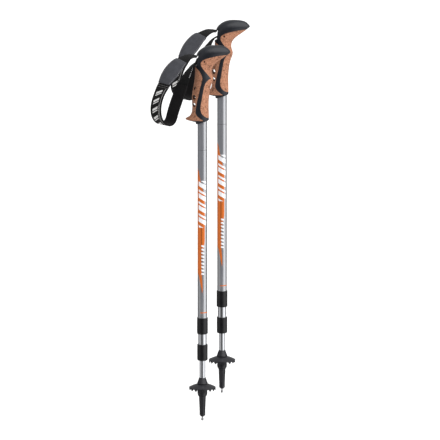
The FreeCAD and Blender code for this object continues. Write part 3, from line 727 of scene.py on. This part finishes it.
def strap_seams(stations, settings):
    """Lines of the seams: two across the end of the pad and one along each pad edge."""
    top = settings.webbing_thickness + LAYER_GAP
    first, last = int(STRAP_STEPS * PAD_FROM), int(STRAP_STEPS * PAD_TO)
    lines = []
    for offset in (2, 5):
        centre, across, out, _ = stations[last + offset]
        half = webbing_width(PAD_TO, settings) / 2 - 1.2 * MM
        lines.append([centre + across * (half * s) + out * top for s in np.linspace(-1, 1, 12)])
    inset, rise = 1.6 * MM, 1.25 * MM
    for s in (-1, 1):
        edge = []
        for i in range(first + 3, last - 3):
            centre, across, out, _ = stations[i]
            half = pad_width(i / STRAP_STEPS, settings) / 2 - inset
            edge.append(centre + across * (half * s) + out * (top + rise))
        lines.append(edge)
    return lines


def band_mesh(name, stations, section_at, material):
    """Closed band through the stations, mapped in metres across and along."""
    verts = []
    rows = []
    uvs = []
    for centre, across, out, length in stations:
        row = []
        for x, y in section_at(length):
            row.append(len(verts))
            verts.append(centre + across * x + out * y)
            uvs.append((x, length))
        rows.append(row)
    faces = []
    count = len(rows[0])
    for a, b in zip(rows, rows[1:]):
        for i in range(count):
            j = (i + 1) % count
            faces.append((a[i], a[j], b[j], b[i]))
    faces.append(tuple(rows[0][::-1]))
    faces.append(tuple(rows[-1]))
    mesh = bpy.data.meshes.new(name)
    mesh.from_pydata([tuple(v) for v in verts], [], faces)
    layer = mesh.uv_layers.new(name="UVMap")
    for loop in mesh.loops:
        layer.data[loop.index].uv = uvs[loop.vertex_index]
    mesh.polygons.foreach_set("use_smooth", [True] * len(mesh.polygons))
    mesh.materials.append(material)
    obj = bpy.data.objects.new(name, mesh)
    bpy.context.scene.collection.objects.link(obj)
    bm = bmesh.new()
    bm.from_mesh(mesh)
    bmesh.ops.recalc_face_normals(bm, faces=bm.faces)
    bm.to_mesh(mesh)
    bm.free()
    return obj


# ------------------------------------------------------------------ stitches by geometry nodes

def stitch_tree(material):
    """Node tree that lays short stitches along a mesh line."""
    tree = bpy.data.node_groups.new("Stitch run", "GeometryNodeTree")
    tree.is_modifier = True
    face = tree.interface
    face.new_socket("Geometry", in_out="INPUT", socket_type="NodeSocketGeometry")
    spacing = face.new_socket("Spacing", in_out="INPUT", socket_type="NodeSocketFloat")
    length = face.new_socket("Stitch length", in_out="INPUT", socket_type="NodeSocketFloat")
    radius = face.new_socket("Thread radius", in_out="INPUT", socket_type="NodeSocketFloat")
    face.new_socket("Geometry", in_out="OUTPUT", socket_type="NodeSocketGeometry")
    nodes, links = tree.nodes, tree.links
    enter = nodes.new("NodeGroupInput")
    leave = nodes.new("NodeGroupOutput")
    to_curve = nodes.new("GeometryNodeMeshToCurve")
    resample = nodes.new("GeometryNodeResampleCurve")
    resample.mode = "LENGTH"
    tangent = nodes.new("GeometryNodeInputTangent")
    align = nodes.new("FunctionNodeAlignRotationToVector")
    align.axis = "Z"
    capsule = nodes.new("GeometryNodeMeshUVSphere")
    capsule.inputs["Segments"].default_value = 6
    capsule.inputs["Rings"].default_value = 4
    capsule.inputs["Radius"].default_value = 1.0
    size = nodes.new("ShaderNodeCombineXYZ")
    half = nodes.new("ShaderNodeMath")
    half.operation = "MULTIPLY"
    half.inputs[1].default_value = 0.5
    place = nodes.new("GeometryNodeInstanceOnPoints")
    realize = nodes.new("GeometryNodeRealizeInstances")
    paint = nodes.new("GeometryNodeSetMaterial")
    paint.inputs["Material"].default_value = material
    links.new(enter.outputs["Geometry"], to_curve.inputs[0])
    links.new(to_curve.outputs[0], resample.inputs["Curve"])
    links.new(enter.outputs["Spacing"], resample.inputs["Length"])
    links.new(resample.outputs[0], place.inputs["Points"])
    links.new(capsule.outputs["Mesh"], place.inputs["Instance"])
    links.new(tangent.outputs[0], align.inputs["Vector"])
    links.new(align.outputs[0], place.inputs["Rotation"])
    links.new(enter.outputs["Thread radius"], size.inputs[0])
    links.new(enter.outputs["Thread radius"], size.inputs[1])
    links.new(enter.outputs["Stitch length"], half.inputs[0])
    links.new(half.outputs[0], size.inputs[2])
    links.new(size.outputs[0], place.inputs["Scale"])
    links.new(place.outputs[0], realize.inputs[0])
    links.new(realize.outputs[0], paint.inputs["Geometry"])
    links.new(paint.outputs[0], leave.inputs[0])
    return tree, {"Spacing": spacing.identifier, "Stitch length": length.identifier,
                  "Thread radius": radius.identifier}


def stitched(name, lines, tree, sockets, spacing, length, radius):
    """Stitches along the lines as one plain mesh object."""
    verts, edges = [], []
    for line in lines:
        start = len(verts)
        verts += [tuple(p) for p in line]
        edges += [(start + i, start + i + 1) for i in range(len(line) - 1)]
    guide_mesh = bpy.data.meshes.new(name + " guide")
    guide_mesh.from_pydata(verts, edges, [])
    guide = bpy.data.objects.new(name + " guide", guide_mesh)
    bpy.context.scene.collection.objects.link(guide)
    modifier = guide.modifiers.new("Stitch run", "NODES")
    modifier.node_group = tree
    modifier[sockets["Spacing"]] = spacing
    modifier[sockets["Stitch length"]] = length
    modifier[sockets["Thread radius"]] = radius
    bpy.context.view_layer.update()
    graph = bpy.context.evaluated_depsgraph_get()
    mesh = bpy.data.meshes.new_from_object(guide.evaluated_get(graph))
    mesh.name = name
    bpy.data.objects.remove(guide)
    bpy.data.meshes.remove(guide_mesh)
    mesh.polygons.foreach_set("use_smooth", [True] * len(mesh.polygons))
    obj = bpy.data.objects.new(name, mesh)
    bpy.context.scene.collection.objects.link(obj)
    return obj


# ------------------------------------------------------------------ operators


def paint(node, material):
    """Gives a CAD node its finish."""
    obj = frame["nodes"][node]
    obj.material_slots[0].material = material


class POLES_OT_grips(bpy.types.Operator):
    """Finishes the cork facings, the rubber skeleton, its base and the strap pin"""
    bl_idname = "poles.grips"
    bl_label = "Finish the grips"

    def execute(self, context):
        settings = context.scene.pole_finish
        cork = cork_material(settings)
        # The rear cork is a darker copy of the same cork: painted shade for the side of the grip
        # turned away from the light.
        rear_cork_painted_shade = cork_material(settings, "rear cork painted shade", 0.80)
        rubber = rubber_material(settings)
        steel = metal_material("strap pin steel", (0.018, 0.018, 0.020), 0.5)
        plastic = plastic_material("wedge plastic", (0.02, 0.02, 0.022), 0.5)
        for side in SIDES:
            paint(side + "_cork_rear", rear_cork_painted_shade)
            for piece in ("cork_front", "cork_beak"):
                paint("%s_%s" % (side, piece), cork)
            for piece in ("grip_frame", "grip_base"):
                paint("%s_%s" % (side, piece), rubber)
            paint(side + "_strap_pin", steel)
            paint(side + "_strap_wedge", plastic)
        return {"FINISHED"}


class POLES_OT_tubes(bpy.types.Operator):
    """Finishes the tubes with their print, the collars and the locks inside"""
    bl_idname = "poles.tubes"
    bl_label = "Finish the tubes"

    def execute(self, context):
        settings = context.scene.pole_finish
        bare = bare_tube_material(settings)
        collar = plastic_material("collar plastic", settings.plastic, 0.36)
        lock = plastic_material("lock plastic", (0.10, 0.10, 0.11), 0.5)
        steel = metal_material("lock steel", (0.36, 0.36, 0.37), 0.32)
        for side in SIDES:
            paint(side + "_upper_tube", printed_tube_material(settings, side))
            paint(side + "_middle_tube", bare)
            paint(side + "_lower_tube", bare)
            paint(side + "_upper_collar", collar)
            paint(side + "_lower_collar", collar)
            for section in ("middle", "lower"):
                for piece in ("plug", "expander", "cone"):
                    paint("%s_%s_%s" % (side, section, piece), lock)
                for piece in ("spindle", "spindle_nut"):
                    paint("%s_%s_%s" % (side, section, piece), steel)
        return {"FINISHED"}


class POLES_OT_tips(bpy.types.Operator):
    """Finishes the flexible tips, the baskets and the hard-metal points"""
    bl_idname = "poles.tips"
    bl_label = "Finish the tips"

    def execute(self, context):
        settings = context.scene.pole_finish
        plastic = plastic_material("tip plastic", settings.tip, 0.40)
        carbide = metal_material("hard metal", (0.40, 0.40, 0.41), 0.38)
        for side in SIDES:
            paint(side + "_flex_tip", plastic)
            paint(side + "_basket", plastic)
            paint(side + "_carbide_tip", carbide)
        return {"FINISHED"}


class POLES_OT_straps(bpy.types.Operator):
    """Makes the webbing loop, its lining, the pad and the stitching"""
    bl_idname = "poles.straps"
    bl_label = "Make the straps"

    def execute(self, context):
        settings = context.scene.pole_strap
        black = printed_webbing_material()
        plain = webbing_material("tail webbing", (0.005, 0.005, 0.0055))
        lining_cloth = webbing_material("strap lining", (0.0048, 0.0042, 0.0045), 0.0008)
        pad_cloth = pad_material()
        thread = thread_material()
        tree, sockets = stitch_tree(thread)
        for side in SIDES:
            paint(side + "_strap_tail", plain)
            stations = strap_stations(pole_axis(side))
            total = stations[-1][3]

            def webbing_section(run):
                return flat_section(webbing_width(run / total, settings), 0.0,
                                    settings.webbing_thickness, 0.5 * MM, 6)

            def lining_section(run):
                width = webbing_width(run / total, settings) + LINING_OVERHANG
                return flat_section(width, -settings.lining_thickness, -LAYER_GAP, 0.7 * MM, 6)

            first, last, lining_last = (int(STRAP_STEPS * share)
                                        for share in (PAD_FROM, PAD_TO, LINING_TO))
            webbing = band_mesh(side + "_webbing_loop", stations, webbing_section, black)
            lining = band_mesh(side + "_loop_lining", stations[first:lining_last],
                               lining_section, lining_cloth)
            pad = band_mesh(side + "_wrist_pad", stations[first:last],
                            lambda run: pad_section(run / total, settings), pad_cloth)
            for obj, node in ((webbing, "strap_webbing"), (lining, "strap_lining"),
                              (pad, "strap_pad")):
                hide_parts("%s_%s" % (side, node))
                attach(obj, side + "_strap_loop")
            seams = stitched(side + "_strap_stitches", strap_seams(stations, settings), tree,
                             sockets, settings.stitch_gap, settings.stitch_length, THREAD_RADIUS)
            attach(seams, side + "_strap_loop")
        return {"FINISHED"}


# Brightness of the studio walls round the poles, in degrees from the camera's side: dark in
# front, a broad bright wall to the right and a softer one to the left.
WALLS = [(-180, 0.55), (-125, 0.45), (-108, 0.10), (-96, 0.12), (-86, 0.85), (-58, 0.80),
         (-40, 0.16), (-12, 0.06), (10, 0.10), (26, 0.55), (44, 1.9), (88, 1.7), (104, 0.35),
         (122, 0.20), (150, 0.60), (180, 0.55)]
CEILING = 0.55
CEILING_FROM, CEILING_TO = 0.25, 0.75

TOP_LIGHT_FROM = (0.62, -0.62, 1.25)
TOP_LIGHT_SPREAD = 85
SENSOR_WIDTH = 36.0
WIDTH_IN_VIEW = 0.817
AIM_ASIDE, AIM_HEIGHT = 32.7 * MM, 0.3797
VIEW_DEPTH = 100.0


def studio_world():
    """Bright and dark walls and a pale ceiling for the light, on a plain white backdrop."""
    world = bpy.data.worlds.new("studio")
    world.use_nodes = True
    tree = world.node_tree
    nodes, links = tree.nodes, tree.links
    coords = nodes.new("ShaderNodeTexCoord")
    split = nodes.new("ShaderNodeSeparateXYZ")
    turn = nodes.new("ShaderNodeMapping")
    turn.inputs["Rotation"].default_value = (0, 0, math.radians(90 - VIEW_AZIMUTH))
    angle = nodes.new("ShaderNodeMath")
    angle.operation = "ARCTAN2"
    share = nodes.new("ShaderNodeMapRange")
    share.inputs[1].default_value = -math.pi
    share.inputs[2].default_value = math.pi
    walls = nodes.new("ShaderNodeValToRGB")
    top = max(level for _, level in WALLS)
    fill_ramp(walls, [((degrees + 180) / 360, level / top) for degrees, level in WALLS])
    gain = nodes.new("ShaderNodeMath")
    gain.operation = "MULTIPLY"
    gain.inputs[1].default_value = top
    lift = nodes.new("ShaderNodeMapRange")
    lift.inputs[1].default_value = CEILING_FROM
    lift.inputs[2].default_value = CEILING_TO
    blend = nodes.new("ShaderNodeMix")
    blend.inputs[3].default_value = CEILING
    rays = nodes.new("ShaderNodeLightPath")
    seen = nodes.new("ShaderNodeMix")
    seen.inputs[3].default_value = 1.0
    nodes["Background"].inputs["Color"].default_value = (1.0, 1.0, 1.0, 1.0)
    links.new(coords.outputs["Generated"], turn.inputs["Vector"])
    links.new(turn.outputs[0], split.inputs[0])
    links.new(split.outputs[1], angle.inputs[0])
    links.new(split.outputs[0], angle.inputs[1])
    links.new(angle.outputs[0], share.inputs[0])
    links.new(share.outputs[0], walls.inputs[0])
    links.new(walls.outputs[0], gain.inputs[0])
    links.new(split.outputs[2], lift.inputs[0])
    links.new(lift.outputs[0], blend.inputs[0])
    links.new(gain.outputs[0], blend.inputs[2])
    links.new(rays.outputs["Is Camera Ray"], seen.inputs[0])
    links.new(blend.outputs[0], seen.inputs[2])
    links.new(seen.outputs[0], nodes["Background"].inputs["Strength"])
    return world


def slide_out():
    """How far a pole's two sections slide out below where its tip is at rest.

    The poles are held by their grips, so the floor lies below their full reach.
    """
    slides = ("right_middle_slide", "right_lower_slide")
    joints = frame["record"]["behaviour"]["joints"]
    return sum(joint["range_m"][1] for joint in joints if joint["name"] in slides)


def stage_floor(context, settings):
    """Plain pale floor below the poles' full reach."""
    w = Wiring("studio floor")
    haze = w.noise(w.place, 3.0, 2.0)
    w.set("Base Color", w.ramp(haze, [(0.0, 0.90), (1.0, 0.92)]))
    w.set("Roughness", 0.9)
    w.set("Specular IOR Level", 0.1)
    reach = settings.floor_reach
    mesh = bpy.data.meshes.new("floor")
    mesh.from_pydata([(-reach, -reach, 0), (reach, -reach, 0), (reach, reach, 0),
                      (-reach, reach, 0)], [], [(0, 1, 2, 3)])
    mesh.materials.append(w.material)
    floor = bpy.data.objects.new("floor", mesh)
    floor.location.z = -(slide_out() + settings.floor_gap)
    floor.visible_glossy = False
    context.scene.collection.objects.link(floor)
    return floor


def stage_light(context, settings):
    """Broad soft light from above."""
    light = bpy.data.lights.new("top light", "SUN")
    light.energy = settings.top_power
    light.angle = math.radians(TOP_LIGHT_SPREAD)
    holder = bpy.data.objects.new("top light", light)
    holder.rotation_euler = Vector(TOP_LIGHT_FROM).to_track_quat("Z", "Y").to_euler()
    context.scene.collection.objects.link(holder)
    return holder


def stage_camera(context, settings):
    """Camera far off with a long lens, level with the middle of the pair."""
    azimuth, elevation = math.radians(VIEW_AZIMUTH), math.radians(VIEW_ELEVATION)
    back = Vector((math.sin(azimuth) * math.cos(elevation),
                   -math.cos(azimuth) * math.cos(elevation), math.sin(elevation)))
    target = Vector((AIM_ASIDE * math.cos(azimuth), AIM_ASIDE * math.sin(azimuth), AIM_HEIGHT))
    data = bpy.data.cameras.new("camera")
    data.lens = settings.lens
    data.sensor_width = SENSOR_WIDTH
    data.clip_end = VIEW_DEPTH
    camera = bpy.data.objects.new("camera", data)
    camera.location = target + back * (WIDTH_IN_VIEW * settings.lens / SENSOR_WIDTH)
    camera.rotation_euler = (-back).to_track_quat("-Z", "Y").to_euler()
    context.scene.collection.objects.link(camera)
    return camera


class POLES_OT_stage(bpy.types.Operator):
    """Sets up the floor, the lights and the camera"""
    bl_idname = "poles.stage"
    bl_label = "Set up the stage"

    def execute(self, context):
        settings = context.scene.pole_stage
        stage_floor(context, settings)
        stage_light(context, settings)
        context.scene.world = studio_world()
        context.scene.view_settings.view_transform = "Standard"
        context.scene.camera = stage_camera(context, settings)
        return {"FINISHED"}


class POLES_PT_panel(bpy.types.Panel):
    """Sidebar panel with the poles' settings and steps"""
    bl_label = "Trekking Poles"
    bl_idname = "POLES_PT_panel"
    bl_space_type = "VIEW_3D"
    bl_region_type = "UI"
    bl_category = "Trekking Poles"

    def draw(self, context):
        for name in ("pole_finish", "pole_strap", "pole_stage"):
            group = getattr(context.scene, name)
            for key in group.bl_rna.properties.keys():
                if key not in ("rna_type", "name"):
                    self.layout.prop(group, key)
        for operator in OPERATORS:
            self.layout.operator(operator.bl_idname)


OPERATORS = (POLES_OT_grips, POLES_OT_tubes, POLES_OT_tips, POLES_OT_straps, POLES_OT_stage)
CLASSES = (PoleFinishSettings, PoleStrapSettings, PoleStageSettings) + OPERATORS + (POLES_PT_panel,)


def register():
    for cls in CLASSES:
        bpy.utils.register_class(cls)
    bpy.types.Scene.pole_finish = PointerProperty(type=PoleFinishSettings)
    bpy.types.Scene.pole_strap = PointerProperty(type=PoleStrapSettings)
    bpy.types.Scene.pole_stage = PointerProperty(type=PoleStageSettings)


def unregister():
    del bpy.types.Scene.pole_stage
    del bpy.types.Scene.pole_strap
    del bpy.types.Scene.pole_finish
    for cls in reversed(CLASSES):
        bpy.utils.unregister_class(cls)


def main():
    register()
    bpy.ops.poles.grips()
    bpy.ops.poles.tubes()
    bpy.ops.poles.tips()
    bpy.ops.poles.straps()
    bpy.ops.poles.stage()


if __name__ == "__main__":
    main()
